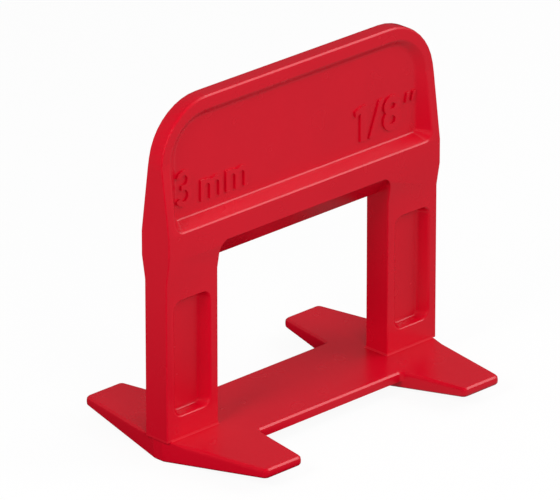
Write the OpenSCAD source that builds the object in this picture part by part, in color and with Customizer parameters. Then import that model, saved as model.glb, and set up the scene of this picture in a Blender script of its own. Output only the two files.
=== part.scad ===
// Tile levelling clip, moulded in one piece.
// Two posts stand in the joint between tiles, a head spans them and a base lies under the tiles.
// X runs along the joint, Y across it and Z up.
// The origin lies on the underside, below the middle of the base.

/* [Window and posts] */
// Thickness of the posts, which is the joint that the clip keeps open
joint_t = 3; // [2:0.1:4]
// Width of each post along the joint
post_w = 6.95; // [5:0.05:9]
// Width of the wedge window between the posts
window_w = 23.5; // [20:0.1:28]
// Height of the window, from the base to the ridge that the wedge bears on
window_h = 17.1; // [15:0.1:24]
// Height of the window's two outer rims above the ridge
ridge_rise = 2.2; // [1.6:0.1:2.8]
// Radius of the window's two upper corners
window_r = 1.2; // [0.4:0.1:1.5]

/* [Head] */
// Height of the head above the ridge
head_h = 17.3; // [15:0.1:22]
// Radius of the two upper corners
head_r = 6.2; // [5:0.1:8]
// Thickness of the belly, the widest part of the head
belly_t = 3.85; // [3.4:0.05:4.6]
// Thickness of the upper part of the head
head_t = 1.9; // [1.5:0.1:2.6]
// Distance below the ridge at which the posts begin to flare
flare_drop = 0.65; // [0.2:0.05:1.2]
// Height over which the posts flare to the belly
flare_h = 2.45; // [1.5:0.05:3]
// Height of the belly
belly_h = 2.5; // [1.8:0.1:3]
// Height over which the head tapers above the belly
taper_h = 7.3; // [5:0.1:8]

/* [Head panels] */
// Land left beside each sunk panel
panel_land = 1.05; // [0.6:0.05:2]
// Land left above each panel
panel_cap = 1.45; // [0.8:0.05:2]
// Height of a panel's lower rim above the window's rims
panel_sill = 2.3; // [1.6:0.1:3]
// Thickness of the web left between the two panels
panel_web = 0.9; // [0.6:0.1:1.2]
// Lean of a panel's side walls, from rim to floor
panel_draft = 1.15; // [0.4:0.05:1.6]
// Lean of a panel's lower wall
sill_draft = 0.8; // [0.3:0.05:1.2]
// Lean of a panel's upper wall
cap_draft = 0.6; // [0.3:0.05:1.2]
// Radius of a panel's lower corners at the rim
panel_r = 1; // [0.5:0.1:1.5]
// Radius of a panel's upper corners at the rim
panel_top_r = 4.8; // [3:0.1:5]
// Reach of the rounds along a panel's rim and floor, to each side of the edge
panel_round = 0.22; // [0.1:0.02:0.28]

/* [Post pockets] */
// Land left on each side of a pocket
pocket_land = 1.05; // [0.6:0.05:1.3]
// Height of a pocket's lower rim above the base
pocket_sill = 2.35; // [1.5:0.05:4]
// Height of the post between a pocket's upper rim and the flare
pocket_cap = 2; // [1:0.1:4]
// Thickness of the web left between two pockets
pocket_web = 0.9; // [0.6:0.1:1.2]
// Lean of a pocket's side walls, from rim to floor
pocket_draft = 0.75; // [0.2:0.05:1]
// Lean of a pocket's end walls
pocket_end_draft = 0.25; // [0.05:0.05:0.5]
// Radius of a pocket's corners at the rim
pocket_r = 1; // [0.6:0.1:1.2]
// Reach of the rounds along a pocket's rim and floor, to each side of the edge
pocket_round = 0.26; // [0.1:0.02:0.28]

/* [Base] */
// Height of the base's upper face above the ground
base_t = 2.3; // [1.8:0.1:3.5]
// Depth of the base over the feet
base_d = 25.3; // [20:0.1:32]
// Width of each foot beam at the joint
beam_w = 9.45; // [8:0.05:11]
// Inset of the beam's nose from the post's outer face
nose_inset = 0.2; // [0.1:0.05:0.5]
// Width of the flat nose at the end of the beam
nose_w = 1.2; // [0.8:0.1:2.4]
// Width of a foot at its tip
foot_w = 4.95; // [3.5:0.05:6]
// Thickness of a foot at its tip
foot_t = 1; // [1:0.05:1.5]
// Width of the flat that the beam rests on
keel_w = 2; // [1.4:0.1:4]
// Depth of the bar between the beams
bar_d = 10.5; // [8:0.1:13]
// Thickness of the bar
bar_t = 1; // [0.8:0.05:1.5]
// Radius of the feet's corners
foot_r = 0.6; // [0.6:0.1:1]
// Radius of the notch between foot and bar
notch_r = 0.4; // [0.4:0.1:1]
// Radius of the nose's corners
nose_r = 0.6; // [0.4:0.1:1]

/* [Rounded edges] */
// Reach of the rounds along the edges of the posts and the window, to each side of the edge
post_round = 0.2; // [0.1:0.05:0.3]
// Reach of the round along the head's upper edge
head_round = 0.45; // [0.2:0.05:0.6]
// Reach of the round along the base's upper edge
base_round = 0.5; // [0.2:0.05:0.5]
// Reach of that round at the nose, beside the post
nose_round = 0.15; // [0.1:0.05:0.2]
// Reach of the round along the lower edge of the foot beams
under_round = 0.4; // [0.1:0.05:0.4]
// Reach of the rounded root between post and base
root_round = 0.2; // [0.15:0.05:0.5]
// Length over which the base's round grows from the nose's to its own
round_fade = 1.5; // [1:0.1:3]

/* [Hidden] */
$fn = 64;

// Reach of cutting shapes past the face that they cut
past = 1;
// Overlap of cutting shapes that join
lap = 0.02;
// Steps of a recess's corner arcs, of a panel's upright sides, of the head's corners and of the rounds
arc_steps = 7;
side_steps = 8;
head_steps = 10;
round_steps = 3;
// Largest turn of one step along the base's corners
step_angle = 20;

clip_w = window_w + 2 * post_w;
ridge_z = base_t + window_h;
rim_z = ridge_z + ridge_rise;
clip_h = ridge_z + head_h;

flare_z = ridge_z - flare_drop;
belly_z = flare_z + flare_h;
taper_z = belly_z + belly_h;
thin_z = taper_z + taper_h;

panel_half_w = clip_w / 2 - panel_land;
panel_z = rim_z + panel_sill;
panel_top_z = clip_h - panel_cap;

pocket_w = post_w - 2 * pocket_land;
pocket_z = base_t + pocket_sill;
pocket_top_z = flare_z - pocket_cap;
post_x = (window_w + post_w) / 2;

nose_x = clip_w / 2 - nose_inset;
beam_x = nose_x - beam_w / 2;
foot_slope = (beam_w - foot_w) / (base_d - nose_w);
inner_x = nose_x - beam_w;
notch_x = inner_x + drawn_in(bar_d / 2);
// Where the post's root ends, and where the base's round has its full reach
root_y = joint_t / 2 + root_round;
fade_y = root_y + round_fade;
// A quarter of the base's plan, from the nose round a foot to the notch beside the bar, and the whole
plan_quarter = [
    [nose_x, nose_w / 2],
    [nose_x - drawn_in(root_y), root_y],
    [nose_x - drawn_in(fade_y), fade_y],
    [beam_x + foot_w / 2, base_d / 2],
    [beam_x - foot_w / 2, base_d / 2],
    [notch_x, bar_d / 2]
];
plan_half = concat(plan_quarter, reversed(mirrored(plan_quarter, -1, 1)));
plan_outline = concat(plan_half, mirrored(plan_half, -1, -1));
quarter_radii = [nose_r, 0, 0, foot_r, foot_r, notch_r];
half_radii = concat(quarter_radii, reversed(quarter_radii));
plan_radii = concat(half_radii, half_radii);
// Plan of one foot beam, from the nose round its two feet
beam_quarter = [
    [nose_x, nose_w / 2],
    [beam_x + foot_w / 2, base_d / 2],
    [beam_x - foot_w / 2, base_d / 2],
    [inner_x, nose_w / 2]
];
beam_outline = concat(beam_quarter, reversed(mirrored(beam_quarter, 1, -1)));
beam_radii = [nose_r, foot_r, foot_r, nose_r, nose_r, foot_r, foot_r, nose_r];

function unit(v) = v / norm(v);
// Sides of outline p that meet at corner i, pointing away from it
function before(p, i) = p[(i + len(p) - 1) % len(p)] - p[i];
function after(p, i) = p[(i + 1) % len(p)] - p[i];
function half_angle(p, i) = acos(unit(before(p, i)) * unit(after(p, i))) / 2;
// Centre of the arc that rounds corner i, and the two points where it meets the sides
function arc_centre(p, i, r) =
    p[i] + unit(unit(before(p, i)) + unit(after(p, i))) * r / sin(half_angle(p, i));
function arc_ends(p, i, r) =
    [for (side = [before(p, i), after(p, i)]) p[i] + unit(side) * r / tan(half_angle(p, i))];
// A corner is hollow where the outline, drawn anticlockwise, turns right
function hollow(p, i) = cross(before(p, i), after(p, i)) > 0;
// Stations along the arc at corner i: points of the arc, each with the direction out of the outline
function arc_stations(p, i, r, steps) =
    let (
        side = hollow(p, i) ? -1 : 1,
        centre = arc_centre(p, i, r),
        start = side * (arc_ends(p, i, r)[0] - centre) / r,
        turn = side * (180 - 2 * half_angle(p, i))
    )
    [for (k = [0 : steps]) let (a = turn * k / steps)
        let (n = [start[0] * cos(a) - start[1] * sin(a), start[0] * sin(a) + start[1] * cos(a)])
        [centre + side * r * n, n]];
function reversed(list) = [for (i = [len(list) - 1 : -1 : 0]) list[i]];
function mirrored(points, x, y) = [for (q = points) [x * q[0], y * q[1]]];
// The same stations at the other end of the clip, and seen from the other side of the line
function other_end(stations) = [for (q = reversed(stations)) mirrored(q, -1, 1)];
function flipped(stations) = [for (q = reversed(stations)) [q[0], -q[1]]];

// Direction out of the side that starts at corner i
function side_normal(p, i) = [unit(after(p, i))[1], -unit(after(p, i))[0]];
// Stations round an outline: along the arc of each corner, or at a corner that has none
function stations(p, radii) =
    [for (i = [0 : len(p) - 1]) each radii[i] > 0
        ? arc_stations(p, i, radii[i], ceil((180 - 2 * half_angle(p, i)) / step_angle))
        : [[p[i], side_normal(p, i)]]];

// How far a side of the beam has drawn in at a distance from the joint's middle
function drawn_in(y) = (y - nose_w / 2) * foot_slope;
// Height of the beam's underside, which rises from the keel to the tips of the feet
function under_z(y) = max(0, abs(y) - keel_w / 2) / (base_d - keel_w) * 2 * (base_t - foot_t);

// Half the thickness of posts and head at a height
function half_t(z) =
    lookup(z, [[flare_z, joint_t], [belly_z, belly_t], [taper_z, belly_t], [thin_z, head_t]]) / 2;
// Point of the front face at q, drawn in X and Z
function on_face(q) = [q[0], -half_t(q[1]), q[1]];
// Curve from a to b that rounds off the edge c
function rounding(a, c, b) =
    [for (k = [0 : round_steps]) let (u = k / round_steps)
        (1 - u) ^ 2 * a + 2 * u * (1 - u) * c + u ^ 2 * b];

// Anticlockwise outline with a radius at each corner
module rounded(p, radii) {
    corners = [for (i = [0 : len(p) - 1]) if (radii[i] > 0) i];
    difference() {
        union() {
            polygon([for (i = [0 : len(p) - 1]) each radii[i] > 0 ? arc_ends(p, i, radii[i]) : [p[i]]]);
            for (i = corners)
                if (!hollow(p, i)) translate(arc_centre(p, i, radii[i])) circle(radii[i]);
        }
        for (i = corners)
            if (hollow(p, i)) translate(arc_centre(p, i, radii[i])) circle(radii[i]);
    }
}

// Upright outlines are drawn in X and Z, and extruded from y towards the back
module upright(y, depth) {
    translate([0, y + depth, 0]) rotate([90, 0, 0]) linear_extrude(depth) children();
}

// Sections are drawn in Y and Z, and extruded along X
module along(width) {
    translate([-width / 2, 0, 0]) rotate([90, 0, 90]) linear_extrude(width) children();
}

// Both halves of what is drawn at +X
module both_ends() {
    children();
    mirror([1, 0, 0]) children();
}

// Front and back of what is drawn at -Y
module both_faces() {
    children();
    mirror([0, 1, 0]) children();
}

// Body through sections that have as many points each, either a ring or closed at both ends
module sweep(sections, ring = false) {
    m = len(sections);
    n = len(sections[0]);
    sides = [for (i = [0 : m - (ring ? 1 : 2)]) for (k = [0 : n - 1])
        let (a = i * n, b = (i + 1) % m * n, next = (k + 1) % n)
        each [[a + k, b + k, b + next], [a + k, b + next, a + next]]];
    ends = ring ? [] : [[for (k = [0 : n - 1]) k], [for (k = [n - 1 : -1 : 0]) (m - 1) * n + k]];
    polyhedron([for (section = sections) each section], concat(sides, ends));
}

// Strip along an edge, each of its lines a point on one face, the edge and a point on the other face.
// Cut away it rounds an outer edge, and added it fills an inner one.
module edge_strip(lines, ring = false) {
    sweep([for (q = lines)
        let (
            out = unit(2 * q[1] - q[0] - q[2]),
            curve = [for (c = rounding(q[0], q[1], q[2])) c + out * lap]
        )
        concat(curve, [q[1] + out * norm(q[1] - q[0])])], ring);
}

// Front view of posts and head
module front_outline() {
    x = clip_w / 2;
    rounded([[-x, base_t], [x, base_t], [x, clip_h], [-x, clip_h]], [0, 0, head_r, head_r]);
}

// Section through post and head, which swells to a belly above the window
module thickness_section() {
    right = [for (z = [base_t, flare_z, belly_z, taper_z, thin_z, clip_h]) [half_t(z), z]];
    polygon(concat(right, reversed(mirrored(right, -1, 1))));
}

// Wedge window, whose top is notched to leave a ridge along the head
module window() {
    y = belly_t / 2 + past;
    x = window_w / 2;
    low = base_t - past;
    high = ridge_z + ridge_rise * y / (belly_t / 2);
    top = rim_z + lap;
    intersection() {
        along(window_w) polygon([[-y, low], [y, low], [y, high], [0, ridge_z], [-y, high]]);
        upright(-y, 2 * y) rounded([[-x, low], [x, low], [x, top], [-x, top]], [0, 0, window_r, window_r]);
    }
}

// Points round a recess, drawn in X and Z: as many for its floor as for its rim
function recess_points(half_w, z0, z1, r0, r1, steps) =
    let (
        corners = [[-half_w, z0], [half_w, z0], [half_w, z1], [-half_w, z1]],
        radii = [r0, r0, r1, r1],
        arcs = [for (i = [0 : 3]) [for (q = arc_stations(corners, i, radii[i], arc_steps)) q[0]]],
        // upright sides are stepped where they follow the head's taper
        sides = [for (i = [0 : 3]) let (from = arcs[i][arc_steps], to = arcs[(i + 1) % 4][0])
            [if (i % 2 == 1) for (k = [1 : 1 : steps - 1]) from + (to - from) * k / steps]]
    )
    [for (i = [0 : 3]) each concat(arcs[i], sides[i])];

// Section through a recess's wall, from the floor to a point past the face, with both edges rounded
function wall_section(floor, rim, web, reach) =
    let (
        f = [floor[0], -web / 2, floor[1]],
        r = on_face(rim),
        out = unit(rim - floor) * reach,
        up = unit(r - f) * reach,
        land = on_face(rim + out) - [0, lap, 0],
        past_face = [land[0], -belly_t, land[2]]
    )
    concat(rounding(f - [out[0], 0, out[1]], f, f + up), rounding(r - up, r, land), [past_face]);

// Recess in the front face, down to a web
module recess(floor, rim, web, reach) {
    walls = [for (i = [0 : len(rim) - 1]) wall_section(floor[i], rim[i], web, reach)];
    sweep([for (k = [0 : len(walls[0]) - 1]) [for (w = walls) w[k]]]);
}

// Sunk panel on the front of the head: its walls lean, and its rim follows the head's taper
module panel() {
    floor_r = max(panel_r - sill_draft, 2 * panel_round);
    floor_z = panel_z + sill_draft;
    floor_top_z = panel_top_z - cap_draft;
    floor_top_r = panel_top_r - panel_draft;
    floor_half_w = panel_half_w - panel_draft;
    floor = recess_points(floor_half_w, floor_z, floor_top_z, floor_r, floor_top_r, side_steps);
    rim = recess_points(panel_half_w, panel_z, panel_top_z, panel_r, panel_top_r, side_steps);
    recess(floor, rim, panel_web, panel_round);
}

// Sunk pocket on the front of the right post
module pocket() {
    half_w = pocket_w / 2;
    floor_r = max(pocket_r - pocket_draft, 2 * pocket_round);
    floor_z = pocket_z + pocket_end_draft;
    floor_top_z = pocket_top_z - pocket_end_draft;
    floor = recess_points(half_w - pocket_draft, floor_z, floor_top_z, floor_r, floor_r, 1);
    rim = recess_points(half_w, pocket_z, pocket_top_z, pocket_r, pocket_r, 1);
    translate([post_x, 0, 0]) recess(floor, rim, pocket_web, pocket_round);
}

// Round along the front edge of posts and head, which widens over the head's corners
module outer_round() {
    x = clip_w / 2;
    outline = [[x, base_t - past], [x, clip_h], [-x, clip_h], [-x, base_t - past]];
    right = [for (z = [base_t - past, flare_z, belly_z, taper_z]) [[x, z], [1, 0]]];
    corners = [for (i = [1, 2]) each arc_stations(outline, i, head_r, head_steps)];
    edge_strip([for (q = concat(right, corners, other_end(right)))
        let (reach = lookup(q[0][1], [[clip_h - head_r, post_round], [clip_h, head_round]]))
        [on_face(q[0]) + [0, reach, 0], on_face(q[0]), on_face(q[0] - q[1] * reach)]]);
}

// Round along the front edge of the window
module window_round() {
    x = window_w / 2;
    outline = [[x, base_t - past], [x, rim_z], [-x, rim_z], [-x, base_t - past]];
    right = [for (z = [base_t - past, flare_z]) [[x, z], [1, 0]]];
    corners = [for (i = [1, 2]) each arc_stations(outline, i, window_r, arc_steps)];
    // the soffit slopes from the rim to the ridge
    edge_strip([for (q = flipped(concat(right, corners, other_end(right))))
        let (back = unit([0, belly_t / 2, ridge_rise * min(q[1][1], 0)]))
        [on_face(q[0]) + back * post_round, on_face(q[0]), on_face(q[0] - q[1] * post_round)]]);
}

// Posts and head, with the window, panels and pockets cut
module frame() {
    difference() {
        intersection() {
            upright(-belly_t, 2 * belly_t) front_outline();
            along(clip_w + 2 * past) thickness_section();
        }
        window();
        both_faces() {
            panel();
            both_ends() pocket();
            outer_round();
            window_round();
        }
    }
}

// Plan of the base: a bar joins two beams, each with a nose at the joint's end and two feet
module base_plan() {
    rounded(plan_outline, plan_radii);
}

// Round along the upper edge of the base, small at the nose and full along feet and bar
module base_top_round() {
    edge_strip([for (q = stations(plan_outline, plan_radii))
        let (
            edge = [q[0][0], q[0][1], base_t],
            reach = lookup(abs(edge[1]), [[root_y, nose_round], [fade_y, base_round]])
        )
        [edge - [0, 0, reach], edge, edge - reach * [q[1][0], q[1][1], 0]]], ring = true);
}

// Round along the lower edge of the beam at +X
module beam_under_round() {
    edge_strip([for (q = stations(beam_outline, beam_radii))
        let (
            edge = [q[0][0], q[0][1], under_z(q[0][1])],
            inner = q[0] - under_round * q[1]
        )
        [[inner[0], inner[1], under_z(inner[1])], edge, edge + [0, 0, under_round]]], ring = true);
}

// Hollow between the two beams, under the bar and the rounds of its notches
module under_bar() {
    notch = len(plan_quarter) - 1;
    back = [[inner_x, nose_w / 2], arc_ends(plan_outline, notch, notch_r)[0]];
    half = concat(back, reversed(mirrored(back, -1, 1)));
    translate([0, 0, -past]) linear_extrude(base_t - bar_t + past)
        polygon(concat(half, reversed(mirrored(half, 1, -1))));
}

// Wedge under the front feet, which thin from the keel to their tips
module under_feet() {
    heel = -keel_w / 2;
    toe = -base_d / 2;
    tip_z = base_t - foot_t;
    rise = tip_z / (heel - toe) * past;
    along(clip_w) polygon([[heel, -past], [heel, 0], [toe - past, tip_z + rise], [toe - past, -past]]);
}

// Base: flat above, with a keel under each post
module base() {
    difference() {
        linear_extrude(base_t) base_plan();
        under_bar();
        both_faces() under_feet();
        base_top_round();
        both_ends() beam_under_round();
    }
}

// Rounded root of the post at +X: its face and its window side spread onto the base
module post_root() {
    spread = concat(
        [[root_round, -root_round]],
        rounding([root_round, 0], [0, 0], [0, root_round]),
        [[-lap, root_round + root_round / round_steps]]
    );
    face = [for (q = spread) [joint_t / 2 + q[0], base_t + q[1]]];
    side = [for (q = spread) [window_w / 2 - q[0], base_t + q[1]]];
    end_x = nose_x - drawn_in(root_y) - nose_round;
    low = side[0][1];
    high = side[len(side) - 1][1];
    intersection() {
        along(clip_w) polygon(concat(face, reversed(mirrored(face, -1, 1))));
        upright(-root_y, 2 * root_y) polygon(concat([[end_x, high], [end_x, low]], side));
    }
}

// The whole clip
module levelling_clip() {
    color("crimson") {
        frame();
        base();
        both_ends() post_root();
    }
}

levelling_clip();
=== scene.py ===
"""Looks of a moulded tile levelling clip.

Satin red plastic, raised size marks and a plain studio.
"""

import math

import bmesh
import bpy
from bpy.props import FloatProperty, FloatVectorProperty, PointerProperty
from mathutils import Matrix, Vector


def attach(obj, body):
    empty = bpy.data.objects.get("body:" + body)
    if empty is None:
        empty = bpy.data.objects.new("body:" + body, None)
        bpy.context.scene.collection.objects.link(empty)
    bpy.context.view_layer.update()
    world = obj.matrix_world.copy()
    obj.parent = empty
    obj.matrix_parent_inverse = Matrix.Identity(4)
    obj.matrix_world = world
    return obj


bl_info = {
    "name": "Tile levelling clip",
    "version": (1, 0, 0),
    "blender": (4, 5, 0),
    "location": "3D View > Sidebar > Clip",
    "description": (
        "Dresses the packed clip in satin plastic, adds its raised size marks and sets the studio"
    ),
    "category": "Object",
}

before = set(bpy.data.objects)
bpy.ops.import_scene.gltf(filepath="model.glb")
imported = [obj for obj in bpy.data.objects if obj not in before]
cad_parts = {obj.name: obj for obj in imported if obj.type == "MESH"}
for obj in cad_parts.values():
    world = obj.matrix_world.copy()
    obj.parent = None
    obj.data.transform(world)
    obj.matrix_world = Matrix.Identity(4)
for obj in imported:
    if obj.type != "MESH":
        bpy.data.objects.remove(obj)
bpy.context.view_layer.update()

CLIP_NODE = "levelling_clip"
BODY = "root"
MM = 0.001
WHITE = (1.0, 1.0, 1.0, 1.0)

# The plastic's refraction, and the scale and detail of its pigment, gloss and grain.
PLASTIC_NAME = "satin_red_plastic"
PLASTIC_IOR = 1.46
PIGMENT_SCALE = 160.0
PIGMENT_DETAIL = 3.0
GLOSS_SCALE = 420.0
GLOSS_DETAIL = 1.0
GLOSS_SPREAD = 0.015
GRAIN_DETAIL = 2.0
GRAIN_STRENGTH = 0.5

# The part of a noise's range that pigment and gloss use.
NOISE_LOW = 0.3
NOISE_HIGH = 0.7

# Corners nearer than this are joined, and faces that turn less than this are one flat face.
CORNER_REACH = 0.002 * MM
FLAT_TURN = math.radians(0.3)
AREA_WEIGHT = 50

# Corners of the size marks that are nearer than this are joined.
MARK_CORNER_REACH = 0.001 * MM

# Waist of a rounded figure as a share of its height, and its upper bowl as a share of the lower.
WAIST_SHARE = 0.53
UPPER_BOWL_SHARE = 0.92

# How far round the bowls of a figure three reach, in degrees, and its tongue as a share of a bowl.
THREE_OPENS = 160.0
THREE_TONGUE = 0.4

# Steps along a figure eight's rim and holes, and the turn of a hole up to its last point.
RIM_STEPS = 24
HOLE_STEPS = 17
HOLE_TURN = 340.0

# Where the arches of a small letter m start and where the first one stops, in degrees.
ARCH_START = 105.0
ARCH_STOP = 55.0
ARCH_STEPS = 10

# The camera's sensor in millimetres, and the nearest and farthest that it sees in metres.
SENSOR_WIDTH = 36.0
SEEN_FROM = 0.01
SEEN_TO = 20.0

# Sides on which gloss shows a painted pool of light on the floor, and where that starts as the
# floor turns to them.
FLOOR_RIGHT = (1.0, -1.0, 0.0)
FLOOR_LEFT = (-1.0, 1.0, 0.0)
SLOPE_START = 0.2

# In gloss the left floor's glow carries a painted shadow: it is dark up to the first distance from
# the clip's middle, and whole at the second.
PAINTED_SHADOW_REACH = 15.0 * MM
PAINTED_SHADOW_END = 60.0 * MM

# Sides that the sky's soft light comes from: the front right, the right and the back.
SKY_SIDES = (
    (1.0, -1.0, 0.0),
    (1.0, 0.0, 0.0),
    (0.0, 1.0, 0.0),
)
SKY_FOCUS = 2.0

# Side and focus of the pale panel over the key lamp that gloss shows.
PANEL_SIDE = (0.65, -0.25, 0.72)
PANEL_FOCUS = 8.0

# Each lamp: its name, its place, its side in metres and whether gloss shows it.
LAMPS = (
    ("key", (0.1625, -0.125, 0.16), 0.135, True),
    ("fill", (-0.15, -0.02, 0.12), 0.06, False),
    ("left", (-0.3, 0.0, 0.13), 0.2, False),
    ("front", (-0.17, -0.26, 0.13), 0.2, False),
    ("right", (0.27, 0.0, 0.18), 0.2, False),
)

# Point that the lamps face.
LAMP_AIM = (0.0, 0.0, 18.0 * MM)


class ClipPlastic(bpy.types.PropertyGroup):
    """Colour and surface of the moulded plastic."""

    colour: FloatVectorProperty(
        name="Colour",
        description="Colour of the plastic",
        subtype="COLOR",
        size=4,
        min=0.0,
        max=1.0,
        default=(0.6, 0.001, 0.014, 1.0),
    )
    colour_drift: FloatProperty(
        name="Colour drift",
        description="How far the pigment drifts from place to place",
        default=0.025,
        min=0.0,
        max=0.3,
        subtype="FACTOR",
    )
    roughness: FloatProperty(
        name="Roughness",
        description="Roughness of the mould's satin finish",
        default=0.26,
        min=0.05,
        max=1.0,
        subtype="FACTOR",
    )
    grain: FloatProperty(
        name="Grain",
        description="Width of the finest marks that the mould leaves",
        default=0.35 * MM,
        min=0.05 * MM,
        max=3.0 * MM,
        precision=5,
        unit="LENGTH",
    )
    grain_depth: FloatProperty(
        name="Grain depth",
        description="Depth of the finest marks that the mould leaves",
        default=0.0004 * MM,
        min=0.0,
        max=0.1 * MM,
        precision=7,
        unit="LENGTH",
    )
    root_height: FloatProperty(
        name="Root height",
        description="Height of the middle of the dull band at the posts' roots",
        default=2.42 * MM,
        precision=5,
        unit="LENGTH",
    )
    root_reach: FloatProperty(
        name="Root reach",
        description="Reach of that band up and down from its middle",
        default=0.11 * MM,
        min=0.0,
        precision=5,
        unit="LENGTH",
    )
    root_dull: FloatProperty(
        name="Root dullness",
        description="Roughness that the mould's corner adds in that band",
        default=0.4,
        min=0.0,
        max=0.7,
        subtype="FACTOR",
    )
    crease_angle: FloatProperty(
        name="Crease angle",
        description="Edges that turn more than this stay crisp",
        default=math.radians(32.0),
        min=math.radians(5.0),
        max=math.radians(90.0),
        subtype="ANGLE",
    )


class ClipMarks(bpy.types.PropertyGroup):
    """Raised size marks on the head's front panel."""

    floor_y: FloatProperty(
        name="Panel floor",
        description="Place of the front panel's floor",
        default=-0.45 * MM,
        precision=5,
        unit="LENGTH",
    )
    relief: FloatProperty(
        name="Relief",
        description="How far the marks stand out of the panel's floor",
        default=0.2 * MM,
        min=0.02 * MM,
        max=0.6 * MM,
        precision=5,
        unit="LENGTH",
    )
    edge: FloatProperty(
        name="Edge",
        description="Width of the slope round each mark",
        default=0.05 * MM,
        min=0.0,
        max=0.3 * MM,
        precision=5,
        unit="LENGTH",
    )
    sunk: FloatProperty(
        name="Sunk",
        description="How far the marks reach into the panel",
        default=0.06 * MM,
        min=0.01 * MM,
        max=0.3 * MM,
        precision=5,
        unit="LENGTH",
    )


class ClipStage(bpy.types.PropertyGroup):
    """Camera, lamps and floor of the studio."""

    azimuth: FloatProperty(
        name="Azimuth",
        description="Direction of the camera round the clip, from straight in front",
        default=math.radians(-44.888),
        subtype="ANGLE",
    )
    elevation: FloatProperty(
        name="Elevation",
        description="Height of the camera over the clip",
        default=math.radians(22.591),
        subtype="ANGLE",
    )
    distance: FloatProperty(
        name="Distance",
        description="Distance from the camera to the point it looks at",
        default=735.1 * MM,
        unit="LENGTH",
    )
    aim: FloatVectorProperty(
        name="Aim",
        description="Point that the camera looks at",
        default=(-1.094 * MM, 0.704 * MM, 16.820 * MM),
        precision=5,
        subtype="TRANSLATION",
    )
    lens: FloatProperty(
        name="Lens",
        description="Focal length in millimetres",
        default=483.47,
        min=10.0,
        max=2000.0,
    )
    floor_size: FloatProperty(
        name="Floor size",
        description="Side of the square floor",
        default=3.0,
        min=0.2,
        unit="LENGTH",
    )
    floor_colour: FloatVectorProperty(
        name="Floor colour",
        description="Colour of the pale floor",
        subtype="COLOR",
        size=4,
        min=0.0,
        max=1.0,
        default=(0.9, 0.9, 0.9, 1.0),
    )
    floor_bounce: FloatProperty(
        name="Floor bounce",
        description="Share of the light that the floor throws back onto the clip",
        default=0.18,
        min=0.0,
        max=1.0,
        subtype="FACTOR",
    )
    floor_glow: FloatProperty(
        name="Floor glow",
        description="Share of plain white in what the camera sees of the floor",
        default=0.93,
        min=0.0,
        max=1.0,
        subtype="FACTOR",
    )
    # Painted light seen in gloss: the floor glows at the front right and far off at the back left,
    # with no lamp that lights it there.
    painted_floor_light_right: FloatProperty(
        name="Right floor in gloss",
        description="Brightness of the floor at the front right, as seen in gloss",
        default=0.33,
        min=0.0,
        max=1.0,
        subtype="FACTOR",
    )
    painted_floor_light_left: FloatProperty(
        name="Left floor in gloss",
        description="Brightness of the floor far off at the back left, as seen in gloss",
        default=0.21,
        min=0.0,
        max=1.0,
        subtype="FACTOR",
    )
    sky: FloatVectorProperty(
        name="Sky",
        description="Strength of the soft light from each of the sky's sides",
        size=len(SKY_SIDES),
        default=(1.0, 1.0, 1.15),
        min=0.0,
        max=5.0,
    )
    sky_gloss: FloatProperty(
        name="Sky in gloss",
        description="Brightness of the studio, as seen in gloss",
        default=0.12,
        min=0.0,
        max=1.0,
        subtype="FACTOR",
    )
    panel_gloss: FloatProperty(
        name="Panel in gloss",
        description="Brightness of the pale panel over the key lamp, as seen in gloss",
        default=0.45,
        min=0.0,
        max=1.0,
        subtype="FACTOR",
    )
    key_power: FloatProperty(
        name="Key lamp",
        description="Power of the lamp at the front right, which draws the highlights",
        default=0.17,
        min=0.0,
        unit="POWER",
    )
    fill_power: FloatProperty(
        name="Fill lamp",
        description="Power of the small lamp at the left",
        default=0.135,
        min=0.0,
        unit="POWER",
    )
    left_power: FloatProperty(
        name="Left lamp",
        description="Power of the soft lamp at the left",
        default=0.12,
        min=0.0,
        unit="POWER",
    )
    front_power: FloatProperty(
        name="Front lamp",
        description="Power of the soft lamp at the front left",
        default=0.66,
        min=0.0,
        unit="POWER",
    )
    right_power: FloatProperty(
        name="Right lamp",
        description="Power of the soft lamp at the right",
        default=0.16,
        min=0.0,
        unit="POWER",
    )


def new_material(name):
    """An empty node material with its output node."""
    material = bpy.data.materials.new(name)
    material.use_nodes = True
    nodes = material.node_tree.nodes
    nodes.clear()
    output = nodes.new("ShaderNodeOutputMaterial")
    return material, nodes, material.node_tree.links, output


def math_node(nodes, operation, kind="ShaderNodeMath"):
    """Math node, of numbers or of vectors, that does one operation."""
    node = nodes.new(kind)
    node.operation = operation
    return node


def feed(links, value, socket):
    """Links an output to an input, or sets the input to a number."""
    if isinstance(value, bpy.types.NodeSocket):
        links.new(value, socket)
    else:
        socket.default_value = value


def shade_of(colour, share):
    """A colour made darker or lighter by a share."""
    return [channel * share for channel in colour[:3]] + [1.0]


def noise_of(nodes, links, place, scale, detail):
    """Socket of a noise over a place."""
    noise = nodes.new("ShaderNodeTexNoise")
    noise.inputs["Scale"].default_value = scale
    noise.inputs["Detail"].default_value = detail
    links.new(place, noise.inputs["Vector"])
    return noise.outputs["Fac"]


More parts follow.
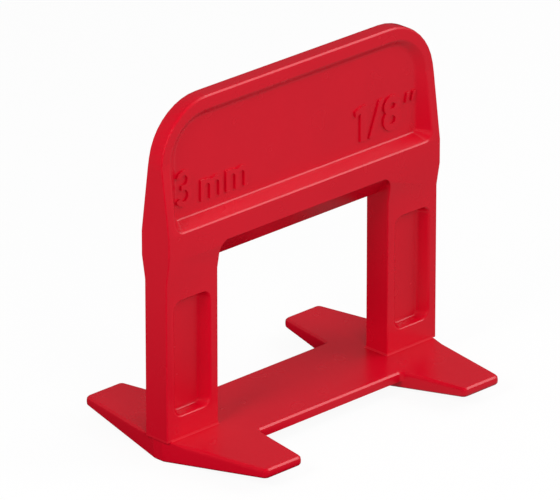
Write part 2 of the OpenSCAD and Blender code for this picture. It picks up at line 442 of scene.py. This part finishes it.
def satin_plastic(settings):
    """Moulded plastic with a drifting pigment, an uneven gloss, dull post roots and fine grain."""
    material, nodes, links, output = new_material(PLASTIC_NAME)
    shader = nodes.new("ShaderNodeBsdfPrincipled")
    shader.inputs["IOR"].default_value = PLASTIC_IOR
    place = nodes.new("ShaderNodeTexCoord").outputs["Object"]

    pigment = noise_of(nodes, links, place, PIGMENT_SCALE, PIGMENT_DETAIL)
    shades = nodes.new("ShaderNodeValToRGB")
    low, high = shades.color_ramp.elements
    low.position = NOISE_LOW
    high.position = NOISE_HIGH
    low.color = shade_of(settings.colour, 1.0 - settings.colour_drift)
    high.color = shade_of(settings.colour, 1.0 + settings.colour_drift)
    links.new(pigment, shades.inputs["Fac"])
    links.new(shades.outputs["Color"], shader.inputs["Base Color"])

    gloss = noise_of(nodes, links, place, GLOSS_SCALE, GLOSS_DETAIL)
    gloss_range = nodes.new("ShaderNodeMapRange")
    gloss_range.inputs["From Min"].default_value = NOISE_LOW
    gloss_range.inputs["From Max"].default_value = NOISE_HIGH
    gloss_range.inputs["To Min"].default_value = settings.roughness - GLOSS_SPREAD
    gloss_range.inputs["To Max"].default_value = settings.roughness + GLOSS_SPREAD
    links.new(gloss, gloss_range.inputs["Value"])
    height = nodes.new("ShaderNodeSeparateXYZ")
    links.new(place, height.inputs[0])
    root = math_node(nodes, "COMPARE")
    root.inputs[1].default_value = settings.root_height
    root.inputs[2].default_value = settings.root_reach
    links.new(height.outputs["Z"], root.inputs[0])
    dull = math_node(nodes, "MULTIPLY_ADD")
    dull.inputs[1].default_value = settings.root_dull
    links.new(root.outputs[0], dull.inputs[0])
    links.new(gloss_range.outputs["Result"], dull.inputs[2])
    links.new(dull.outputs[0], shader.inputs["Roughness"])

    grain = noise_of(nodes, links, place, 1.0 / settings.grain, GRAIN_DETAIL)
    bump = nodes.new("ShaderNodeBump")
    bump.inputs["Strength"].default_value = GRAIN_STRENGTH
    bump.inputs["Distance"].default_value = settings.grain_depth
    links.new(grain, bump.inputs["Height"])
    links.new(bump.outputs["Normal"], shader.inputs["Normal"])

    links.new(shader.outputs["BSDF"], output.inputs["Surface"])
    return material


def plastic_of(settings):
    """The clip's plastic, made once."""
    return bpy.data.materials.get(PLASTIC_NAME) or satin_plastic(settings)


def crisp_edges_group(crease_angle):
    """Node group that joins split corners and keeps only the sharp turns crisp."""
    name = "crisp_edges"
    group = bpy.data.node_groups.get(name)
    if group:
        return group
    group = bpy.data.node_groups.new(name, "GeometryNodeTree")
    for way in ("INPUT", "OUTPUT"):
        group.interface.new_socket("Geometry", in_out=way, socket_type="NodeSocketGeometry")
    nodes = group.nodes
    links = group.links
    start = nodes.new("NodeGroupInput")
    end = nodes.new("NodeGroupOutput")
    plain = nodes.new("GeometryNodeRemoveAttribute")
    plain.inputs["Name"].default_value = "custom_normal"
    join = nodes.new("GeometryNodeMergeByDistance")
    join.inputs["Distance"].default_value = CORNER_REACH
    smooth = nodes.new("GeometryNodeSetShadeSmooth")
    smooth.domain = "FACE"
    smooth.inputs["Shade Smooth"].default_value = True
    crisp = nodes.new("GeometryNodeSetShadeSmooth")
    crisp.domain = "EDGE"
    crisp.inputs["Shade Smooth"].default_value = False
    angle = nodes.new("GeometryNodeInputMeshEdgeAngle")
    turn = nodes.new("FunctionNodeCompare")
    turn.data_type = "FLOAT"
    turn.operation = "GREATER_THAN"
    turn.inputs[1].default_value = crease_angle
    links.new(angle.outputs["Unsigned Angle"], turn.inputs[0])
    links.new(turn.outputs["Result"], crisp.inputs["Selection"])
    chain = (start, plain, join, smooth, crisp, end)
    for before, after in zip(chain, chain[1:]):
        links.new(before.outputs[0], after.inputs[0])
    return group


def smooth_rounds(piece, crease_angle):
    """Shades a piece's rounded edges smoothly and leaves its flat faces flat."""
    crisp = piece.modifiers.new("crisp_edges", "NODES")
    crisp.node_group = crisp_edges_group(crease_angle)
    flat = piece.modifiers.new("whole_faces", "DECIMATE")
    flat.decimate_type = "DISSOLVE"
    flat.angle_limit = FLAT_TURN
    even = piece.modifiers.new("even_shading", "WEIGHTED_NORMAL")
    even.mode = "FACE_AREA"
    even.weight = AREA_WEIGHT
    even.keep_sharp = True


class CLIP_OT_plastic(bpy.types.Operator):
    """Gives the moulded clip its satin red plastic and smooth rounded edges"""

    bl_idname = "clip.plastic"
    bl_label = "Dress the clip"

    def execute(self, context):
        settings = context.scene.clip_plastic
        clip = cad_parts[CLIP_NODE]
        clip.data.materials.clear()
        clip.data.materials.append(plastic_of(settings))
        smooth_rounds(clip, settings.crease_angle)
        return {"FINISHED"}


def arc(centre, reach, start, end, steps=14):
    """Points along an ellipse's arc, with its angles in degrees."""
    points = []
    for i in range(steps + 1):
        angle = math.radians(start + (end - start) * i / steps)
        x = centre[0] + reach[0] * math.cos(angle)
        z = centre[1] + reach[1] * math.sin(angle)
        points.append((x, z))
    return points


def two_bowls(x, z, width, height, stroke):
    """Upper and lower bowl of a figure: centre, outer and inner reach, and angle of the waist."""
    half = stroke / 2
    centre = x + width / 2
    reach = width / 2 - half
    middle = z + height * WAIST_SHARE
    upper = (z + height - half - middle) / 2
    lower = (middle - z - half) / 2
    bowls = []
    for side, wide, tall in ((1, reach * UPPER_BOWL_SHARE, upper), (-1, reach, lower)):
        waist = math.degrees(math.asin(tall / (tall + half)))
        outer = (wide + half, tall + half)
        inner = (wide - half, tall - half)
        bowls.append(((centre, middle + side * tall), outer, inner, waist))
    return bowls


def figure_three(x, z, width, height, stroke):
    """Outline of a figure three."""
    upper, lower = two_bowls(x, z, width, height, stroke)
    top, top_outer, top_inner, waist_up = upper
    bottom, bottom_outer, bottom_inner, waist_low = lower
    half = stroke / 2
    middle = z + height * WAIST_SHARE
    tongue = x + width / 2 - (width / 2 - half) * THREE_TONGUE
    outline = arc(top, top_outer, THREE_OPENS, -waist_up)
    outline += arc(bottom, bottom_outer, waist_low, -THREE_OPENS)
    outline += arc(bottom, bottom_inner, -THREE_OPENS, 90.0)
    outline += [(tongue, middle - half), (tongue, middle + half)]
    outline += arc(top, top_inner, -90.0, THREE_OPENS)
    return [outline]


def figure_eight(x, z, width, height, stroke):
    """Outlines of a figure eight: its rim and its two holes."""
    upper, lower = two_bowls(x, z, width, height, stroke)
    top, top_outer, top_inner, waist_up = upper
    bottom, bottom_outer, bottom_inner, waist_low = lower
    rim = arc(top, top_outer, 180.0 + waist_up, -waist_up, RIM_STEPS)
    rim += arc(bottom, bottom_outer, waist_low, -180.0 - waist_low, RIM_STEPS)
    upper_hole = arc(top, top_inner, 0.0, HOLE_TURN, HOLE_STEPS)
    lower_hole = arc(bottom, bottom_inner, 0.0, HOLE_TURN, HOLE_STEPS)
    return [rim, upper_hole, lower_hole]


def letter_m(x, z, width, height, stroke):
    """Outline of a small letter m."""
    step = (width - stroke) / 2
    round_top = (step - stroke) / 2
    spring = z + height - stroke - round_top
    shoulder = x + stroke * 0.8
    first = (x + stroke + round_top, spring)
    second = (x + stroke + round_top + step, spring)
    outer = (round_top + stroke, round_top + stroke)
    inner = (round_top, round_top)
    outline = [(x, z), (x, z + height), (shoulder, z + height)]
    outline += arc(first, outer, ARCH_START, ARCH_STOP, ARCH_STEPS)
    outline += arc(second, outer, ARCH_START, 0.0, ARCH_STEPS)
    outline += [(x + 2 * step + stroke, z), (x + 2 * step, z)]
    outline += arc(second, inner, 0.0, 180.0, ARCH_STEPS)
    outline += [(x + step + stroke, z), (x + step, z)]
    outline += arc(first, inner, 0.0, 180.0, ARCH_STEPS)
    outline += [(x + stroke, z)]
    return [outline]


def figure_one(x, z, width, height, stroke):
    """Outline of a figure one with its flag."""
    stem = x + width - stroke
    top = z + height
    shoulder = stem + stroke * 0.2
    flag_tip = x + stroke * 0.12
    flag_top = top - stroke * 0.35
    flag_foot = top - stroke * 1.05
    flag_root = top - stroke * 0.8
    return [
        [
            (stem, z),
            (x + width, z),
            (x + width, top),
            (shoulder, top),
            (x, flag_top),
            (flag_tip, flag_foot),
            (stem, flag_root),
        ]
    ]


def fraction_slash(x, z, width, height, stroke):
    """Outline of a slanted fraction stroke."""
    top = z + height
    return [[(x, z), (x + stroke, z), (x + width, top), (x + width - stroke, top)]]


def inch_mark(x, z, width, height, stroke):
    """Outlines of the two slanted ticks of an inch mark."""
    lean = width * 0.16
    foot_width = stroke * 0.7
    ticks = []
    for foot in (x, x + width - stroke - lean):
        ticks.append(
            [
                (foot, z),
                (foot + foot_width, z),
                (foot + stroke + lean, z + height),
                (foot + lean, z + height),
            ]
        )
    return ticks


# Each mark: its drawing, left edge, foot, width, height and stroke, in millimetres on the panel.
SIZE_MARKS = (
    (figure_three, -16.5, 25.9, 2.15, 3.75, 0.52),
    (letter_m, -13.15, 25.75, 2.95, 2.2, 0.5),
    (letter_m, -9.72, 25.75, 2.95, 2.2, 0.5),
    (figure_one, 7.95, 25.75, 1.65, 3.7, 0.88),
    (fraction_slash, 9.92, 25.75, 2.05, 3.7, 0.6),
    (figure_eight, 11.95, 25.75, 2.4, 3.7, 0.74),
    (inch_mark, 15.0, 28.15, 1.5, 1.0, 0.42),
)


def mark_mesh(outlines, marks):
    """Raised mesh of one mark, from outlines in millimetres, standing on the panel's floor."""
    curve = bpy.data.curves.new("mark_outline", "CURVE")
    curve.dimensions = "2D"
    curve.fill_mode = "BOTH"
    for outline in outlines:
        spline = curve.splines.new("POLY")
        spline.points.add(len(outline) - 1)
        for point, (x, z) in zip(spline.points, outline):
            point.co = (x * MM, z * MM, 0.0, 1.0)
        spline.use_cyclic_u = True
    curve.extrude = marks.relief - marks.edge
    curve.bevel_depth = marks.edge
    curve.bevel_resolution = 1
    curve.offset = -marks.edge
    holder = bpy.data.objects.new("mark_outline", curve)
    bpy.context.scene.collection.objects.link(holder)
    bpy.context.view_layer.update()
    drawn = holder.evaluated_get(bpy.context.evaluated_depsgraph_get())
    mesh = bpy.data.meshes.new_from_object(drawn)
    bpy.data.objects.remove(holder)
    bpy.data.curves.remove(curve)
    for v in mesh.vertices:
        v.co = Vector((v.co.x, marks.floor_y - v.co.z, v.co.y))
    return mesh


class CLIP_OT_size_marks(bpy.types.Operator):
    """Raises the joint's size in millimetres and in inches on the head's front panel"""

    bl_idname = "clip.size_marks"
    bl_label = "Raise the size marks"

    def execute(self, context):
        marks = context.scene.clip_marks
        whole = bmesh.new()
        for draw, x, z, width, height, stroke in SIZE_MARKS:
            mesh = mark_mesh(draw(x, z, width, height, stroke), marks)
            whole.from_mesh(mesh)
            bpy.data.meshes.remove(mesh)
        back = marks.floor_y + marks.sunk
        for v in whole.verts:
            v.co.y = min(v.co.y, back)
        bmesh.ops.remove_doubles(whole, verts=whole.verts, dist=MARK_CORNER_REACH)
        # The faces inside the panel give way to one flat back that closes each mark.
        hidden = [f for f in whole.faces if all(v.co.y > marks.floor_y for v in f.verts)]
        bmesh.ops.delete(whole, geom=hidden, context="FACES")
        rim = [e for e in whole.edges if e.is_boundary]
        bmesh.ops.triangle_fill(whole, use_beauty=True, edges=rim, normal=(0.0, 1.0, 0.0))
        bmesh.ops.recalc_face_normals(whole, faces=whole.faces)
        mesh = bpy.data.meshes.new("size_marks")
        whole.to_mesh(mesh)
        whole.free()
        piece = bpy.data.objects.new("size_marks", mesh)
        context.scene.collection.objects.link(piece)
        mesh.materials.append(plastic_of(context.scene.clip_plastic))
        smooth_rounds(piece, context.scene.clip_plastic.crease_angle)
        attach(piece, BODY)
        return {"FINISHED"}


def camera_axes(azimuth, elevation):
    """Right, up and backward directions of a camera that looks at the clip."""
    back = Vector(
        (
            math.sin(azimuth) * math.cos(elevation),
            -math.cos(azimuth) * math.cos(elevation),
            math.sin(elevation),
        )
    )
    right = Vector((math.cos(azimuth), math.sin(azimuth), 0.0))
    up = back.cross(right)
    return right, up, back


def set_camera(context, stage):
    """Camera at the photograph's viewing angle."""
    right, up, back = camera_axes(stage.azimuth, stage.elevation)
    data = bpy.data.cameras.new("clip_camera")
    data.sensor_fit = "HORIZONTAL"
    data.sensor_width = SENSOR_WIDTH
    data.lens = stage.lens
    data.clip_start = SEEN_FROM
    data.clip_end = SEEN_TO
    camera = bpy.data.objects.new("clip_camera", data)
    context.scene.collection.objects.link(camera)
    turn = Matrix((right, up, back)).transposed().to_4x4()
    camera.matrix_world = Matrix.Translation(Vector(stage.aim) + back * stage.distance) @ turn
    context.scene.camera = camera


def gloss_ray(nodes, links, path):
    """Socket that is one for a ray from gloss or glass."""
    shine = math_node(nodes, "MAXIMUM")
    links.new(path.outputs["Is Glossy Ray"], shine.inputs[0])
    links.new(path.outputs["Is Transmission Ray"], shine.inputs[1])
    return shine.outputs[0]


def mix_shaders(nodes, links, share, first, second):
    """Node that goes from one shader to another as a share rises from zero to one."""
    mix = nodes.new("ShaderNodeMixShader")
    feed(links, share, mix.inputs[0])
    links.new(first.outputs[0], mix.inputs[1])
    links.new(second.outputs[0], mix.inputs[2])
    return mix


def towards(nodes, links, direction, side):
    """Socket that says how far a direction points to a side, one where it points straight to it."""
    along = math_node(nodes, "DOT_PRODUCT", "ShaderNodeVectorMath")
    along.inputs[1].default_value = Vector(side).normalized()
    links.new(direction, along.inputs[0])
    return along.outputs["Value"]


def slope(nodes, links, direction, side, high):
    """Socket that rises from zero to a value as a direction turns to a side."""
    ramp = nodes.new("ShaderNodeMapRange")
    ramp.inputs["From Min"].default_value = SLOPE_START
    ramp.inputs["To Max"].default_value = high
    links.new(towards(nodes, links, direction, side), ramp.inputs["Value"])
    return ramp.outputs["Result"]


def side_light(nodes, links, direction, side, strength, before, focus):
    """Socket that adds a soft light, strongest from one side, to what comes before."""
    facing = math_node(nodes, "MAXIMUM")
    facing.inputs[1].default_value = 0.0
    links.new(towards(nodes, links, direction, side), facing.inputs[0])
    lobe = math_node(nodes, "POWER")
    lobe.inputs[1].default_value = focus
    links.new(facing.outputs[0], lobe.inputs[0])
    total = math_node(nodes, "MULTIPLY_ADD")
    total.inputs[1].default_value = strength
    links.new(lobe.outputs[0], total.inputs[0])
    feed(links, before, total.inputs[2])
    return total.outputs[0]


def painted_floor_reflection(nodes, links, stage):
    """The floor as gloss shows it, as painted light and shadow: pale at the front right, dim at the
    back left, dark between, and dark near the clip at the left.
    """
    place = nodes.new("ShaderNodeNewGeometry").outputs["Position"]
    around = math_node(nodes, "NORMALIZE", "ShaderNodeVectorMath")
    links.new(place, around.inputs[0])
    direction = around.outputs[0]
    right = slope(nodes, links, direction, FLOOR_RIGHT, stage.painted_floor_light_right)
    left = slope(nodes, links, direction, FLOOR_LEFT, stage.painted_floor_light_left)
    # Painted shadow: the left glow fades out near the clip's middle.
    away = math_node(nodes, "LENGTH", "ShaderNodeVectorMath")
    links.new(place, away.inputs[0])
    reach = nodes.new("ShaderNodeMapRange")
    reach.inputs["From Min"].default_value = PAINTED_SHADOW_REACH
    reach.inputs["From Max"].default_value = PAINTED_SHADOW_END
    links.new(away.outputs["Value"], reach.inputs["Value"])
    both = math_node(nodes, "MULTIPLY_ADD")
    links.new(left, both.inputs[0])
    links.new(reach.outputs["Result"], both.inputs[1])
    links.new(right, both.inputs[2])
    # The floor glows for gloss rays: a painted reflection of the light on it, not lamp light.
    shine = nodes.new("ShaderNodeEmission")
    links.new(both.outputs[0], shine.inputs["Strength"])
    return shine


def floor_paint(stage):
    """Paint of the floor: pale to the camera, darker in the light that it throws back."""
    material, nodes, links, output = new_material("studio_floor")
    path = nodes.new("ShaderNodeLightPath")
    paint = nodes.new("ShaderNodeBsdfDiffuse")
    paint.inputs["Color"].default_value = stage.floor_colour
    white = nodes.new("ShaderNodeEmission")
    pale = mix_shaders(nodes, links, stage.floor_glow, paint, white)
    dim = nodes.new("ShaderNodeBsdfDiffuse")
    dim.inputs["Color"].default_value = shade_of(stage.floor_colour, stage.floor_bounce)
    seen = mix_shaders(nodes, links, path.outputs["Is Camera Ray"], dim, pale)
    # Gloss sees the floor's painted light and shadow.
    shine = painted_floor_reflection(nodes, links, stage)
    whole = mix_shaders(nodes, links, gloss_ray(nodes, links, path), seen, shine)
    links.new(whole.outputs[0], output.inputs["Surface"])
    material.cycles.emission_sampling = "NONE"
    return material


def set_floor(context, stage):
    """Pale floor that keeps the clip's shadow."""
    half = stage.floor_size / 2
    mesh = bpy.data.meshes.new("studio_floor")
    corners = [(-half, -half, 0.0), (half, -half, 0.0), (half, half, 0.0), (-half, half, 0.0)]
    mesh.from_pydata(corners, [], [(0, 1, 2, 3)])
    mesh.materials.append(floor_paint(stage))
    floor = bpy.data.objects.new("studio_floor", mesh)
    context.scene.collection.objects.link(floor)


def set_sky(context, stage):
    """White background with a soft light from several sides and a pale panel that gloss shows."""
    world = bpy.data.worlds.new("studio_sky")
    world.use_nodes = True
    nodes = world.node_tree.nodes
    links = world.node_tree.links
    nodes.clear()
    output = nodes.new("ShaderNodeOutputWorld")
    path = nodes.new("ShaderNodeLightPath")
    direction = nodes.new("ShaderNodeTexCoord").outputs["Generated"]
    soft = nodes.new("ShaderNodeBackground")
    mirrored = nodes.new("ShaderNodeBackground")
    backdrop = nodes.new("ShaderNodeBackground")
    for light in (soft, mirrored, backdrop):
        light.inputs["Color"].default_value = WHITE
    glow = 0.0
    for side, power in zip(SKY_SIDES, stage.sky):
        glow = side_light(nodes, links, direction, side, power, glow, SKY_FOCUS)
    links.new(glow, soft.inputs["Strength"])
    shine = side_light(
        nodes, links, direction, PANEL_SIDE, stage.panel_gloss, stage.sky_gloss, PANEL_FOCUS
    )
    links.new(shine, mirrored.inputs["Strength"])
    unseen = mix_shaders(nodes, links, gloss_ray(nodes, links, path), soft, mirrored)
    whole = mix_shaders(nodes, links, path.outputs["Is Camera Ray"], unseen, backdrop)
    links.new(whole.outputs[0], output.inputs["Surface"])
    world.cycles.sampling_method = "NONE"
    context.scene.world = world


def add_lamp(context, name, place, side, power, in_gloss):
    """Square soft lamp that faces the clip and that the camera doesn't see."""
    data = bpy.data.lights.new(name, "AREA")
    data.shape = "SQUARE"
    data.size = side
    data.energy = power
    lamp = bpy.data.objects.new(name, data)
    context.scene.collection.objects.link(lamp)
    lamp.location = place
    lamp.rotation_euler = (Vector(LAMP_AIM) - Vector(place)).to_track_quat("-Z", "Y").to_euler()
    lamp.visible_camera = False
    lamp.visible_glossy = in_gloss


class CLIP_OT_stage(bpy.types.Operator):
    """Sets the camera, the pale floor, the white background and the soft lamps"""

    bl_idname = "clip.stage"
    bl_label = "Set the studio"

    def execute(self, context):
        stage = context.scene.clip_stage
        set_camera(context, stage)
        set_floor(context, stage)
        set_sky(context, stage)
        for name, place, side, in_gloss in LAMPS:
            power = getattr(stage, f"{name}_power")
            add_lamp(context, f"{name}_lamp", place, side, power, in_gloss)
        context.scene.view_settings.view_transform = "Standard"
        return {"FINISHED"}


class CLIP_PT_maker(bpy.types.Panel):
    """Lists the clip's pieces and its studio"""

    bl_idname = "CLIP_PT_maker"
    bl_label = "Levelling clip"
    bl_space_type = "VIEW_3D"
    bl_region_type = "UI"
    bl_category = "Clip"

    def draw(self, context):
        scene = context.scene
        parts = (
            (CLIP_OT_plastic, scene.clip_plastic),
            (CLIP_OT_size_marks, scene.clip_marks),
            (CLIP_OT_stage, scene.clip_stage),
        )
        for operator, settings in parts:
            box = self.layout.box()
            for name in settings.bl_rna.properties.keys():
                if name not in {"name", "rna_type"}:
                    box.prop(settings, name)
            box.operator(operator.bl_idname)


CLASSES = (
    ClipPlastic,
    ClipMarks,
    ClipStage,
    CLIP_OT_plastic,
    CLIP_OT_size_marks,
    CLIP_OT_stage,
    CLIP_PT_maker,
)


def register():
    """Registers the settings, the operators and the panel."""
    for cls in CLASSES:
        bpy.utils.register_class(cls)
    bpy.types.Scene.clip_plastic = PointerProperty(type=ClipPlastic)
    bpy.types.Scene.clip_marks = PointerProperty(type=ClipMarks)
    bpy.types.Scene.clip_stage = PointerProperty(type=ClipStage)


def unregister():
    """Takes back what register gave, in the opposite order."""
    del bpy.types.Scene.clip_stage
    del bpy.types.Scene.clip_marks
    del bpy.types.Scene.clip_plastic
    for cls in reversed(CLASSES):
        bpy.utils.unregister_class(cls)


def main():
    """Dresses the clip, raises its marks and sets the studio."""
    register()
    bpy.ops.clip.plastic()
    bpy.ops.clip.size_marks()
    bpy.ops.clip.stage()


if __name__ == "__main__":
    main()
